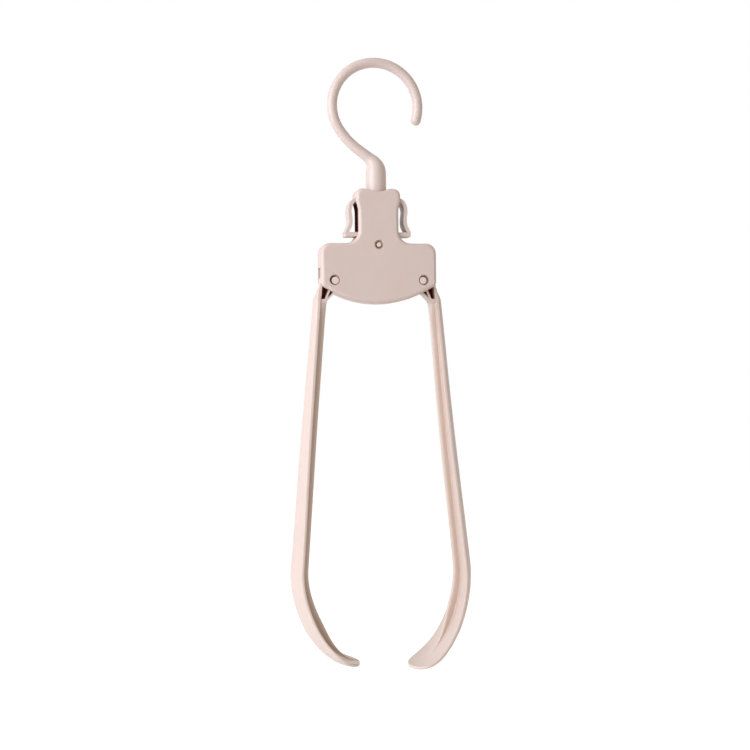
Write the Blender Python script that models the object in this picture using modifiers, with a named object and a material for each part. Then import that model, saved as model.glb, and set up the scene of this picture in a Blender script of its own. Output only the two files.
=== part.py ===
"""Folding travel hanger, folded.

A T-shaped casing of two moulded covers hangs on a swivel hook. Two curved arms of T section turn on
headed pins in the casing's lower corners. Beside the neck two wavy finger strips are squeezed to
pull a tooth out of a notch in each arm's hub, and a coil spring between them presses the teeth back.

Metres, +Z up, -Y to the front. The origin is where the rail touches the inside of the hook. Shapes
of the casing are written as (x, z) from the middle of the line through the two arm pivots.
"""

import math

import bmesh
import bpy
import numpy as np

MM = 0.001

# Fits
RUNNING_GAP = 0.2 * MM
CLEAR_GAP = 0.3 * MM
SEAM = 0.2 * MM
OVERRUN = 1.0 * MM

# Hook
HOOK_INNER_RADIUS = 20.1 * MM
HOOK_WIRE_RADIUS = 2.6 * MM
HOOK_TIP_ANGLE = math.radians(-17.5)
HOOK_BEND_ANGLE = math.radians(215.0)
HOOK_BEND_DROP = 21.9 * MM
HOOK_BEND_PULL = 8.6 * MM
HOOK_TO_NECK = 23.2 * MM
STEM_RADIUS = 5.3 * MM
STEM_GROOVE_RADIUS = 4.0 * MM
STEM_SHOULDER = 4.2 * MM
STEM_GROOVE = 2.2 * MM
STEM_COLLAR = 2.4 * MM

# Casing outline
CASING_DEPTH = 13.0 * MM
CASING_WALL = 1.6 * MM
RIM_RADIUS = 2.0 * MM
BODY_HALF_WIDTH = 30.5 * MM
BODY_RISE = 19.1 * MM
BODY_SIDE_DROP = 2.6 * MM
BODY_DIAGONAL_DROP = 6.4 * MM
BODY_BOTTOM_DROP = 12.2 * MM
BODY_CORNER_RADIUS = 5.2 * MM
NECK_HEIGHT = 28.3 * MM
NECK_HALF_WIDTH = 10.7 * MM
NECK_HEAD_FLARE = 1.1 * MM
NECK_HEAD_HEIGHT = 5.6 * MM
NECK_FLARE_HEIGHT = 6.0 * MM
NECK_CORNER_RADIUS = 3.7 * MM
NECK_FILLET_RADIUS = 6.3 * MM
NECK_SOLID_HEIGHT = 10.9 * MM
COUNTERSINK_DEPTH = 2.8 * MM
COUNTERSINK_SPREAD = 2.8 * MM

# Pivots and pins
PIVOT_INSET = 7.0 * MM
PIVOT_PIN_RADIUS = 2.0 * MM
PIVOT_HOLE_MARGIN = 0.5 * MM
CENTRE_PIN_RADIUS = 1.45 * MM
CENTRE_PIN_BELOW_SHOULDER = 0.8 * MM
PIN_RECESS = 0.7 * MM
PIN_HOLE_STEP = 1.3 * MM
PIN_HEAD_FLANGE = 0.7 * MM
PIN_HEAD_THICKNESS = 1.1 * MM
PIN_HEAD_RECESS = 0.3 * MM
PIN_CHAMFER = 0.3 * MM
BOSS_WALL = 1.0 * MM

# Arms
ARM_HUB_RADIUS = 4.9 * MM
ARM_HUB_HALF_WIDTH = 3.0 * MM
ARM_OPEN_ANGLE = math.radians(68.0)
ARM_TOP_RISE = 1.2 * MM
ARM_ROOT_OFFSET = 7.25 * MM
ARM_SHOULDER_SPREAD = 19.6 * MM
ARM_SHOULDER_DROP = 153.0 * MM
ARM_TIP_INSET = 11.1 * MM
ARM_TIP_DROP = 43.8 * MM
ARM_TIP_BOW = 15.0 * MM
FLANGE_THICKNESS = 1.5 * MM
FLANGE_ROOT_WIDTH = 6.0 * MM
FLANGE_SHOULDER_WIDTH = 22.5 * MM
FLANGE_TIP_WIDTH = 38.0 * MM
FLANGE_ROOT_CROWN = 2.2 * MM
FLANGE_SHOULDER_CROWN = 4.5 * MM
FLANGE_CURVE_CROWN = 4.5 * MM
FLANGE_TIP_CROWN = 2.2 * MM
FLANGE_RIM_DROP_SHARE = 0.85
FLANGE_START_DROP = 2.1 * MM
FLANGE_EMERGE_LENGTH = 2.4 * MM
FLANGE_FLARE_LENGTH = 6.0 * MM
FLANGE_TIP_ROUNDING = 17.0 * MM
FLANGE_TIP_CUT = math.radians(84.0)
FLANGE_RIM_BULGE = 0.4 * MM
WEB_THICKNESS = 2.0 * MM
WEB_REACH = 3.1 * MM
WEB_LEAST_HEIGHT = 0.04 * MM
WEB_FADE_SHARE = 0.5
WEB_END_SHARE = 0.85
WEB_TIP_SHARE = 0.4
WEB_EDGE_SHARE = 0.12
WEB_EDGE_FLAT_SHARE = 0.6
ROOT_DROP = 10.6 * MM
ROOT_LIP = 1.0 * MM
ROOT_BITE_SHARE = 0.7
ROOT_STOP_OVERHANG = 0.2 * MM
ROOT_STOP_DROP = 7.0 * MM
ROOT_RIB_THICKNESS = 1.0 * MM
ROOT_RIB_ANGLE = math.radians(-66.5)
ROOT_FLOOR_THICKNESS = 1.2 * MM
SLOT_RISE = 6.5 * MM

# Release levers
LEVER_HALF_WIDTH = 4.6 * MM
LEVER_THICKNESS = 1.8 * MM
LEVER_FOOT_THICKNESS = 2.2 * MM
LEVER_BARREL_RADIUS = 1.5 * MM
LEVER_BARREL_INSET = 2.4 * MM
LEVER_BARREL_BELOW_TOP = 6.3 * MM
LEVER_STRIP_LENGTH = 17.4 * MM
LEVER_STAND_OFF = 5.9 * MM
LEVER_LEG_INSET = 3.5 * MM
LEVER_LEG_STRAIGHT = 14.6 * MM
LEVER_LOCK_ANGLE = math.radians(1.6)
LEVER_WINDOW_MARGIN = 0.55 * MM
TOOTH_REACH = 3.3 * MM
TOOTH_HALF_WIDTH = 0.9 * MM
NOTCH_FLOOR_GAP = 0.3 * MM

# Latch spring
SPRING_RADIUS = 2.1 * MM
SPRING_WIRE_RADIUS = 0.28 * MM
SPRING_TURNS = 7
SPRING_BELOW_PIN = 6.8 * MM
SPIGOT_RADIUS = 1.3 * MM
SPIGOT_LENGTH = 1.8 * MM

# Fineness of round shapes
ARC_STEPS = 6
LATHE_STEPS = 24
RIM_SEGMENTS = 3
HOOK_STEPS = 26
BEND_STEPS = 12
TIP_STEPS = 3
SECTION_STEPS = 8
STRAIGHT_STEPS = 6
CURVE_STEPS = 18
STRIP_STEPS = 4
TURN_POINTS = 9
FLARE_STEPS = 3
WELD_DISTANCE = 0.01 * MM
GROOVE_EDGE = 0.02 * MM
TUBE_UNIT = 1.0 * MM

# The strip's wave: how far down the strip, and how far out from the neck, of their full sizes
STRIP_WAVE_SHARES = ((0.1, 0.55), (0.29, 0.69), (0.51, 0.62), (0.7, 0.64), (0.87, 0.85))

# How far along the bend the wire has taken how much of its way to the stem's radius
STEM_SWELL_SHARES = ((0, 0), (0.25, 0.12), (0.5, 0.2), (0.6, 0.29), (0.75, 0.53), (0.9, 0.9), (1, 1))

# Places that follow from the sizes above
PIVOT_HALF_SPAN = BODY_HALF_WIDTH - PIVOT_INSET
HOOK_RADIUS = HOOK_INNER_RADIUS + HOOK_WIRE_RADIUS
HOOK_CENTRE_Z = -HOOK_INNER_RADIUS
NECK_TOP = BODY_RISE + NECK_HEIGHT
PIVOT_Z = HOOK_CENTRE_Z - HOOK_INNER_RADIUS - HOOK_TO_NECK - NECK_TOP
HALF_DEPTH = CASING_DEPTH / 2
CAVITY_HALF_DEPTH = HALF_DEPTH - CASING_WALL
NECK_HEAD_HALF_WIDTH = NECK_HALF_WIDTH + NECK_HEAD_FLARE
CAVITY_TOP = NECK_TOP - NECK_SOLID_HEIGHT
CENTRE_PIN_Z = BODY_RISE - CENTRE_PIN_BELOW_SHOULDER
COLLAR_TOP = NECK_TOP - STEM_SHOULDER - STEM_GROOVE
STEM_END = COLLAR_TOP - STEM_COLLAR
BARREL = (NECK_HALF_WIDTH - LEVER_BARREL_INSET, NECK_TOP - LEVER_BARREL_BELOW_TOP)
FOOT_Z = BARREL[1] - LEVER_STRIP_LENGTH
LEG_X = NECK_HALF_WIDTH - LEVER_LEG_INSET
LEG_HALF = LEVER_FOOT_THICKNESS / 2
SPRING_Z = CENTRE_PIN_Z - SPRING_BELOW_PIN
TOOTH_TIP_RADIUS = ARM_HUB_RADIUS + CLEAR_GAP


def unit(angle):
    return np.array((math.cos(angle), math.sin(angle)))


def arc(centre, radius, start, end, steps=ARC_STEPS):
    """Points on a circle, from one angle to another, both ends in."""
    angles = np.linspace(start, end, steps + 1)
    return [tuple(np.array(centre) + radius * unit(angle)) for angle in angles]


def smooth(share):
    """0 to 1 with level ends."""
    share = np.clip(share, 0, 1)
    return share * share * (3 - 2 * share)


def mirrored(points, side):
    return [(side * x, z) for x, z in points]


# Scene


def clear_scene():
    for obj in list(bpy.data.objects):
        bpy.data.objects.remove(obj, do_unlink=True)


def new_collection(name):
    collection = bpy.data.collections.new(name)
    bpy.context.scene.collection.children.link(collection)
    return collection


def plastic(name, colour, roughness, metallic=0.0):
    material = bpy.data.materials.new(name)
    material.use_nodes = True
    shader = material.node_tree.nodes["Principled BSDF"]
    shader.inputs["Base Color"].default_value = (*colour, 1.0)
    shader.inputs["Roughness"].default_value = roughness
    shader.inputs["Metallic"].default_value = metallic
    return material


def place(name, mesh, collection, origin):
    obj = bpy.data.objects.new(name, mesh)
    obj.location = origin
    collection.objects.link(obj)
    return obj


def as_cutter(obj):
    obj.hide_render = True
    obj.display_type = "WIRE"
    return obj


def finish(obj, material):
    """Gives a part its material and smooth shading on its round faces."""
    obj.data.materials.clear()
    obj.data.materials.append(material)
    obj.data.shade_smooth()
    obj.data.set_sharp_from_angle(angle=math.radians(35.0))
    return obj


def boolean(obj, other, operation):
    modifier = obj.modifiers.new(operation.lower(), "BOOLEAN")
    modifier.operation = operation
    modifier.solver = "EXACT"
    modifier.object = other


def joined(name, pieces, collection):
    """One cutter from several pieces that lie apart, each with its modifiers and its place."""
    bpy.context.view_layer.update()
    graph = bpy.context.evaluated_depsgraph_get()
    work = bmesh.new()
    for piece in pieces:
        mesh = bpy.data.meshes.new_from_object(piece.evaluated_get(graph))
        mesh.transform(piece.matrix_world)
        work.from_mesh(mesh)
    mesh = bpy.data.meshes.new(name)
    work.to_mesh(mesh)
    work.free()
    for piece in pieces:
        bpy.data.objects.remove(piece, do_unlink=True)
    return as_cutter(place(name, mesh, collection, (0, 0, 0)))


# Meshes


def welded(mesh):
    """Closes the caps of a mesh made from a curve, and turns its faces outwards."""
    work = bmesh.new()
    work.from_mesh(mesh)
    bmesh.ops.remove_doubles(work, verts=work.verts, dist=WELD_DISTANCE)
    bmesh.ops.dissolve_limit(
        work, angle_limit=math.radians(0.5), verts=work.verts, edges=work.edges
    )
    bmesh.ops.recalc_face_normals(work, faces=work.faces)
    work.to_mesh(mesh)
    work.free()
    return mesh


def from_curve(name, curve):
    """The mesh of a curve, taken from its evaluated object, which is then removed."""
    holder = bpy.data.objects.new(name, curve)
    bpy.context.scene.collection.objects.link(holder)
    bpy.context.view_layer.update()
    evaluated = holder.evaluated_get(bpy.context.evaluated_depsgraph_get())
    mesh = bpy.data.meshes.new_from_object(evaluated)
    mesh.name = name
    bpy.data.objects.remove(holder, do_unlink=True)
    return mesh


def slab(name, outline, front, back):
    """A flat outline in x and z, filled and extruded from y = front to y = back."""
    curve = bpy.data.curves.new(name, "CURVE")
    curve.dimensions = "2D"
    curve.fill_mode = "BOTH"
    curve.extrude = (back - front) / 2
    spline = curve.splines.new("POLY")
    spline.points.add(len(outline) - 1)
    for point, (x, z) in zip(spline.points, outline):
        point.co = (x, z, 0, 1)
    spline.use_cyclic_u = True
    mesh = from_curve(name, curve)
    for vertex in mesh.vertices:
        x, z, depth = vertex.co
        vertex.co = (x, (front + back) / 2 + depth, z)
    return welded(mesh)


def tube(name, points, radii, resolution):
    """A round tube along points, with its own radius at each."""
    curve = bpy.data.curves.new(name, "CURVE")
    curve.dimensions = "3D"
    curve.bevel_depth = TUBE_UNIT
    curve.bevel_resolution = resolution
    curve.use_fill_caps = True
    spline = curve.splines.new("POLY")
    spline.points.add(len(points) - 1)
    for point, spot, radius in zip(spline.points, points, radii):
        point.co = (*spot, 1)
        point.radius = radius / TUBE_UNIT
    return welded(from_curve(name, curve))


def turned(name, profile, collection, origin, axis="Z"):
    """A solid of revolution. Its profile lists (radius, height) from top to bottom."""
    mesh = bpy.data.meshes.new(name)
    edges = [(index, index + 1) for index in range(len(profile) - 1)]
    mesh.from_pydata([(radius, 0, height) for radius, height in profile], edges, [])
    obj = place(name, mesh, collection, origin)
    screw = obj.modifiers.new("turn", "SCREW")
    screw.steps = LATHE_STEPS
    screw.render_steps = LATHE_STEPS
    screw.use_merge_vertices = True
    screw.merge_threshold = WELD_DISTANCE
    if axis == "Y":
        obj.rotation_euler = (math.radians(-90.0), 0, 0)
    if axis == "X":
        obj.rotation_euler = (0, math.radians(90.0), 0)
    return obj


def loft(name, rings):
    """A closed skin through rings of points, rings[station, point], with a flat cap at each end."""
    stations, count, _ = rings.shape
    start = (np.arange(stations - 1) * count)[:, None] + np.arange(count)
    ahead = np.roll(start, -1, axis=1)
    sides = np.stack((start, ahead, ahead + count, start + count), axis=-1).reshape(-1, 4)
    caps = [list(range(count))[::-1], list(range((stations - 1) * count, stations * count))]
    mesh = bpy.data.meshes.new(name)
    mesh.from_pydata(rings.reshape(-1, 3).tolist(), [], sides.tolist() + caps)
    work = bmesh.new()
    work.from_mesh(mesh)
    bmesh.ops.recalc_face_normals(work, faces=work.faces)
    bmesh.ops.triangulate(work, faces=work.faces)
    work.to_mesh(mesh)
    work.free()
    return mesh


def ribbon(centres, half_width):
    """The outline of a strip of even thickness along a bent line of points."""
    line = np.array(centres)
    steps = np.diff(line, axis=0)
    steps /= np.linalg.norm(steps, axis=1)[:, None]
    before = np.vstack((steps[:1], steps))
    after = np.vstack((steps, steps[-1:]))
    tangent = before + after
    tangent /= np.linalg.norm(tangent, axis=1)[:, None]
    normal = np.stack((-tangent[:, 1], tangent[:, 0]), axis=1)
    stretch = half_width / np.sum(tangent * after, axis=1)[:, None]
    return [tuple(p) for p in np.vstack((line + normal * stretch, (line - normal * stretch)[::-1]))]


def through(points, steps=STRIP_STEPS):
    """A smooth line through points, with more points between them."""
    points = np.array(points)
    padded = np.vstack((2 * points[0] - points[1], points, 2 * points[-1] - points[-2]))
    line = []
    for a, b, c, d in zip(padded, padded[1:], padded[2:], padded[3:]):
        for share in np.arange(steps) / steps:
            bend = 2 * b + (c - a) * share
            bend = bend + (2 * a - 5 * b + 4 * c - d) * share**2
            line.append((bend + (3 * b - a - 3 * c + d) * share**3) / 2)
    return line + [points[-1]]


# Casing


def half_outline():
    """The right half of the casing's outline, from the bottom's middle round to the neck's top."""
    sag = BODY_BOTTOM_DROP - BODY_DIAGONAL_DROP
    radius = (PIVOT_HALF_SPAN**2 + sag**2) / (2 * sag)
    spread = math.asin(PIVOT_HALF_SPAN / radius)
    down = math.radians(-90.0)
    bottom = arc((0, radius - BODY_BOTTOM_DROP), radius, down, down + spread)
    side = [(BODY_HALF_WIDTH, -BODY_SIDE_DROP)]
    corner = BODY_CORNER_RADIUS
    shoulder = arc(
        (BODY_HALF_WIDTH - corner, BODY_RISE - corner), corner, 0, math.radians(90.0)
    )
    fillet = arc(
        (NECK_HALF_WIDTH + NECK_FILLET_RADIUS, BODY_RISE + NECK_FILLET_RADIUS),
        NECK_FILLET_RADIUS,
        math.radians(270.0),
        math.radians(180.0),
    )
    flare_top = NECK_TOP - NECK_HEAD_HEIGHT
    shares = np.linspace(0, 1, ARC_STEPS + 1)
    flare = [
        (NECK_HALF_WIDTH + NECK_HEAD_FLARE * smooth(share), flare_top - NECK_FLARE_HEIGHT * (1 - share))
        for share in shares
    ]
    corner = NECK_CORNER_RADIUS
    head = arc(
        (NECK_HEAD_HALF_WIDTH - corner, NECK_TOP - corner), corner, 0, math.radians(90.0)
    )
    return bottom + side + shoulder + fillet + flare + head


def casing_outline():
    half = half_outline()
    left = [(-x, z) for x, z in half[:0:-1]]
    return half + left


def inset(outline, distance):
    """The outline moved inwards, corner by corner. It runs anticlockwise."""
    points = np.array(outline)
    forward = np.roll(points, -1, axis=0) - points
    forward /= np.linalg.norm(forward, axis=1)[:, None]
    backward = np.roll(forward, 1, axis=0)
    tangent = forward + backward
    tangent /= np.linalg.norm(tangent, axis=1)[:, None]
    inward = np.stack((-tangent[:, 1], tangent[:, 0]), axis=1)
    stretch = distance / np.sum(tangent * forward, axis=1)[:, None]
    return [tuple(point) for point in points + inward * stretch]


def cavity_outline():
    """The hollow of the covers: the outline inset by the wall, closed off under the stem's socket."""
    line = [point for point in inset(casing_outline(), CASING_WALL) if point[1] < CAVITY_TOP]
    side = NECK_HALF_WIDTH - CASING_WALL
    last_right = max(index for index, (x, _) in enumerate(line) if x > 0)
    lid = [(side, CAVITY_TOP), (-side, CAVITY_TOP)]
    return line[: last_right + 1] + lid + line[last_right + 1 :]


def socket_profile():
    """The stem's socket: countersunk mouth, bore, the rib that sits in the groove, collar chamber."""
    bore = STEM_RADIUS + RUNNING_GAP
    rib = STEM_GROOVE_RADIUS + RUNNING_GAP
    top = NECK_TOP + OVERRUN
    slope = COUNTERSINK_SPREAD / COUNTERSINK_DEPTH
    rib_top = NECK_TOP - STEM_SHOULDER - RUNNING_GAP
    rib_bottom = COLLAR_TOP + RUNNING_GAP
    floor = STEM_END - CLEAR_GAP
    return [
        (0, top),
        (bore + COUNTERSINK_SPREAD + slope * OVERRUN, top),
        (bore, NECK_TOP - COUNTERSINK_DEPTH),
        (bore, rib_top),
        (rib, rib_top),
        (rib, rib_bottom),
        (bore, rib_bottom),
        (bore, floor),
        (0, floor),
    ]


def pin_hole_profile(radius):
    """A pin's hole, from the back cover's counterbore to the wider mouth in the front cover."""
    hole = radius + RUNNING_GAP
    head = radius + PIN_HEAD_FLANGE + RUNNING_GAP
    seat = HALF_DEPTH - PIN_HEAD_RECESS - PIN_HEAD_THICKNESS - RUNNING_GAP
    mouth = radius + PIVOT_HOLE_MARGIN
    step = HALF_DEPTH - PIN_HOLE_STEP
    over = HALF_DEPTH + OVERRUN
    return [
        (0, over),
        (head, over),
        (head, seat),
        (hole, seat),
        (hole, -step),
        (mouth, -step),
        (mouth, -over),
        (0, -over),
    ]


def arm_slot_outline():
    """Where the side wall and the sloping corner are open for the arm."""
    inner = PIVOT_HALF_SPAN - ROOT_STOP_OVERHANG - CLEAR_GAP
    inside = BODY_HALF_WIDTH - 2 * CASING_WALL
    outside = BODY_HALF_WIDTH + OVERRUN
    low = -BODY_BOTTOM_DROP
    return [
        (inner, low),
        (outside, low),
        (outside, SLOT_RISE),
        (inside, SLOT_RISE),
        (inside, -BODY_SIDE_DROP + CASING_WALL),
        (inner, -ARM_HUB_RADIUS + CASING_WALL),
    ]


def lever_window_outline():
    """Where the neck's side is open for the strip and its foot, over the barrel's pocket."""
    inside = BARREL[0]
    outside = NECK_HEAD_HALF_WIDTH + OVERRUN
    top = BARREL[1] + LEVER_THICKNESS / 2 + LEVER_WINDOW_MARGIN
    bottom = FOOT_Z - LEG_HALF - LEVER_WINDOW_MARGIN
    return [(inside, bottom), (outside, bottom), (outside, top), (inside, top)]


def pin_places():
    """Each pin's name, place in x and z, and radius."""
    return (
        ("left_pivot_pin", (-PIVOT_HALF_SPAN, 0), PIVOT_PIN_RADIUS),
        ("right_pivot_pin", (PIVOT_HALF_SPAN, 0), PIVOT_PIN_RADIUS),
        ("centre_pin", (0, CENTRE_PIN_Z), CENTRE_PIN_RADIUS),
    )


def boss(name, place_xz, radius, inner, face, cutters):
    """A round boss from the cover's wall in to y = inner, on the side that face gives."""
    outer = HALF_DEPTH - CASING_WALL / 2
    reach = radius + PIN_HEAD_FLANGE + BOSS_WALL
    profile = [(0, outer), (reach, outer), (reach, inner), (0, inner)]
    if face < 0:
        profile = [(r, -height) for r, height in profile[::-1]]
    origin = (place_xz[0], 0, PIVOT_Z + place_xz[1])
    return turned(name, profile, cutters, origin, axis="Y")


def cover(name, face, shared, parts, cutters, material):
    """One cover of the casing. face is -1 for the front one and 1 for the back one."""
    block = slab(name, casing_outline(), -HALF_DEPTH, HALF_DEPTH)
    obj = place(name, block, parts, (0, 0, PIVOT_Z))
    bevel = obj.modifiers.new("rim", "BEVEL")
    bevel.width = RIM_RADIUS
    bevel.segments = RIM_SEGMENTS
    bevel.limit_method = "ANGLE"
    bevel.angle_limit = math.radians(60.0)
    reach = BODY_HALF_WIDTH + OVERRUN
    low = -BODY_BOTTOM_DROP - OVERRUN
    high = NECK_TOP + OVERRUN
    box = [(-reach, low), (reach, low), (reach, high), (-reach, high)]
    near = face * SEAM / 2
    far = -face * (HALF_DEPTH + OVERRUN)
    other_half = slab(name + "_other_half", box, min(near, far), max(near, far))
    half_cutter = as_cutter(place(other_half.name, other_half, cutters, (0, 0, PIVOT_Z)))
    boolean(obj, half_cutter, "DIFFERENCE")
    for opening in ("cavity", "arm_slots", "lever_windows", "barrel_pockets"):
        boolean(obj, shared[opening], "DIFFERENCE")
    bosses = []
    for pin, place_xz, radius in pin_places():
        inner = SEAM / 2 if pin == "centre_pin" else ARM_HUB_HALF_WIDTH + RUNNING_GAP
        bosses.append(boss(f"{name}_{pin}_boss", place_xz, radius, inner, face, cutters))
    boolean(obj, joined(f"{name}_bosses", bosses, cutters), "UNION")
    boolean(obj, shared["round_holes"], "DIFFERENCE")
    return finish(obj, material)


def casing_cutters(cutters):
    """The shapes that are cut out of both covers."""
    origin = (0, 0, PIVOT_Z)
    cavity = slab("cavity", cavity_outline(), -CAVITY_HALF_DEPTH, CAVITY_HALF_DEPTH)
    holes = [turned("stem_socket", socket_profile(), cutters, origin)]
    for pin, (x, z), radius in pin_places():
        profile = pin_hole_profile(radius)
        holes.append(turned(f"{pin}_hole", profile, cutters, (x, 0, PIVOT_Z + z), axis="Y"))
    slot = ARM_HUB_HALF_WIDTH + RUNNING_GAP
    window = LEVER_HALF_WIDTH + RUNNING_GAP
    shapes = (
        ("arm_slots", arm_slot_outline(), slot),
        ("lever_windows", lever_window_outline(), window),
        ("barrel_pockets", barrel_circle(LEVER_BARREL_RADIUS + RUNNING_GAP), window),
    )
    shared = {
        "cavity": as_cutter(place("cavity", cavity, cutters, origin)),
        "round_holes": joined("round_holes", holes, cutters),
    }
    for name, outline, half in shapes:
        meshes = [slab(name, mirrored(outline, side), -half, half) for side in (-1, 1)]
        pair = [place(name, mesh, cutters, origin) for mesh in meshes]
        shared[name] = joined(name, pair, cutters)
    return shared


def pin(name, place_xz, radius, parts, material):
    """A headed pin. Its head is in the back cover, and its front end shows in the front cover."""
    front = -(HALF_DEPTH - PIN_RECESS)
    head_top = HALF_DEPTH - PIN_HEAD_RECESS
    head_low = head_top - PIN_HEAD_THICKNESS
    head = radius + PIN_HEAD_FLANGE
    profile = [
        (0, head_top),
        (head - PIN_CHAMFER, head_top),
        (head, head_top - PIN_CHAMFER),
        (head, head_low),
        (radius, head_low),
        (radius, front + PIN_CHAMFER),
        (radius - PIN_CHAMFER, front),
        (0, front),
    ]
    origin = (place_xz[0], 0, PIVOT_Z + place_xz[1])
    return finish(turned(name, profile, parts, origin, axis="Y"), material)


# Hook


def hook_line():
    """The middle line of the hook and its stem, tip first, and the radius at each point."""
    centre = np.array((0, HOOK_CENTRE_Z))
    wire = HOOK_WIRE_RADIUS
    angles = np.linspace(HOOK_TIP_ANGLE, HOOK_BEND_ANGLE, HOOK_STEPS + 1)
    ring = [centre + HOOK_RADIUS * unit(angle) for angle in angles]
    back = np.linspace(math.radians(90.0), 0, TIP_STEPS + 1)[:-1] * (1 - 1 / (4 * TIP_STEPS))
    tip_turn = wire / HOOK_RADIUS
    tip = [centre + HOOK_RADIUS * unit(HOOK_TIP_ANGLE - tip_turn * math.sin(a)) for a in back]
    tip_radii = [wire * math.cos(a) for a in back]
    start = ring[-1]
    ahead = np.array((-math.sin(HOOK_BEND_ANGLE), math.cos(HOOK_BEND_ANGLE)))
    end = np.array((0, start[1] - HOOK_BEND_DROP))
    handle = start + HOOK_BEND_PULL * ahead
    landing = end + np.array((0, HOOK_BEND_PULL))
    shares = np.linspace(0, 1, BEND_STEPS + 1)[1:]
    bend = [
        start * (1 - s) ** 3 + 3 * handle * s * (1 - s) ** 2 + 3 * landing * s**2 * (1 - s) + end * s**3
        for s in shares
    ]
    swell = wire + (STEM_RADIUS - wire) * np.interp(shares, *zip(*STEM_SWELL_SHARES))
    shoulder = PIVOT_Z + NECK_TOP - STEM_SHOULDER
    collar = PIVOT_Z + COLLAR_TOP
    foot = PIVOT_Z + STEM_END
    steps = (
        (shoulder, STEM_RADIUS),
        (shoulder - GROOVE_EDGE, STEM_GROOVE_RADIUS),
        (collar + GROOVE_EDGE, STEM_GROOVE_RADIUS),
        (collar, STEM_RADIUS),
        (foot + PIN_CHAMFER, STEM_RADIUS),
        (foot, STEM_RADIUS - PIN_CHAMFER),
    )
    line = tip + ring + bend + [np.array((0, z)) for z, _ in steps]
    radii = tip_radii + [wire] * len(ring) + list(swell) + [radius for _, radius in steps]
    return [(x, 0, z) for x, z in line], radii


def hook(parts, material):
    line, radii = hook_line()
    obj = place("hook", tube("hook", line, radii, resolution=6), parts, (0, 0, 0))
    return finish(obj, material)


# Arms, as (outwards, y, z) from the pivot


def arm_path():
    """Where the flange's two rims run: a straight line that meets a quarter of an ellipse.

    Gives each station's place, its outward direction and its length along the arm, and how far
    round the ellipse it is, from 0 to 1.
    """
    centre = np.array((-ARM_TIP_INSET, -ARM_SHOULDER_DROP))
    half = np.array((ARM_SHOULDER_SPREAD + ARM_TIP_INSET, ARM_TIP_DROP))
    root = np.array((ARM_ROOT_OFFSET, 0))
    scaled = (root - centre) / half
    touch = math.atan2(scaled[1], scaled[0]) - math.acos(1 / np.linalg.norm(scaled))
    meeting = centre + half * unit(touch)
    along = (meeting - root) / np.linalg.norm(meeting - root)
    first = root + along * FLANGE_START_DROP
    part_shares = np.arange(FLARE_STEPS) / FLARE_STEPS
    emerge = part_shares * FLANGE_EMERGE_LENGTH
    flare = FLANGE_EMERGE_LENGTH + part_shares * FLANGE_FLARE_LENGTH
    rest = FLANGE_EMERGE_LENGTH + FLANGE_FLARE_LENGTH
    straight = np.linspace(rest, np.linalg.norm(meeting - first), STRAIGHT_STEPS + 1)[:-1]
    lengths = np.concatenate((emerge, flare, straight))
    line = first + lengths[:, None] * along
    turns = np.linspace(touch, math.radians(-90.0), CURVE_STEPS * 4 + 1)
    fine = centre + half * np.stack((np.cos(turns), np.sin(turns)), axis=1)
    fine_length = np.concatenate(([0], np.cumsum(np.linalg.norm(np.diff(fine, axis=0), axis=1))))
    tip_start = fine_length[-1] - FLANGE_TIP_ROUNDING
    tip_shares = np.sin(np.linspace(0, FLANGE_TIP_CUT, ARC_STEPS + 1))
    stops = np.concatenate(
        (np.linspace(0, tip_start, CURVE_STEPS)[:-1], tip_start + FLANGE_TIP_ROUNDING * tip_shares)
    )
    angles = np.interp(stops, fine_length, turns)
    curve = centre + half * np.stack((np.cos(angles), np.sin(angles)), axis=1)
    points = np.vstack((line, curve))
    line_normal = np.tile((-along[1], along[0]), (len(line), 1))
    curve_normal = np.stack((half[1] * np.cos(angles), half[0] * np.sin(angles)), axis=1)
    normals = np.vstack((line_normal, curve_normal))
    normals /= np.linalg.norm(normals, axis=1)[:, None]
    total = np.linalg.norm(meeting - first)
    lengths = np.concatenate((lengths, total + stops))
    shares = np.concatenate((np.zeros(len(line)), stops / fine_length[-1]))
    return points, normals, lengths, total, shares


def rim_x(z):
    """The rim's distance out from the pivot at a height on the arm's straight part."""
    points, normals = arm_path()[:2]
    slope = -normals[0][1] / normals[0][0]
    return points[0][0] + (z - points[0][1]) * slope


def web_x(z):
    return rim_x(z) - FLANGE_THICKNESS - WEB_REACH


def flange_sizes(lengths, straight, shares):
    """The flange's width, crown height and how far it has come out of the casing, per station."""
    down = np.clip(lengths / straight, 0, 1)
    full = FLANGE_ROOT_WIDTH + (FLANGE_SHOULDER_WIDTH - FLANGE_ROOT_WIDTH) * down
    full = full + (FLANGE_TIP_WIDTH - FLANGE_SHOULDER_WIDTH) * shares
    narrow = 2 * (ARM_HUB_HALF_WIDTH - FLANGE_RIM_BULGE)
    flare = smooth((lengths - FLANGE_EMERGE_LENGTH) / FLANGE_FLARE_LENGTH)
    rounding_start = lengths[-1] - FLANGE_TIP_ROUNDING * math.sin(FLANGE_TIP_CUT)
    into_tip = np.clip((lengths - rounding_start) / FLANGE_TIP_ROUNDING, 0, 1)
    taper = np.sqrt(1 - into_tip**2)
    width = (narrow + (full - narrow) * flare) * taper
    crowns = (FLANGE_SHOULDER_CROWN, FLANGE_CURVE_CROWN, FLANGE_TIP_CROWN)
    crown = np.interp(shares, (0, 0.5, 1), crowns)
    crown = crown - (FLANGE_SHOULDER_CROWN - FLANGE_ROOT_CROWN) * (1 - down)
    emerge = smooth(lengths / FLANGE_EMERGE_LENGTH)
    rise = smooth(lengths / (FLANGE_EMERGE_LENGTH + FLANGE_FLARE_LENGTH))
    crown = crown * rise * width / full
    return width, crown, emerge


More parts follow.
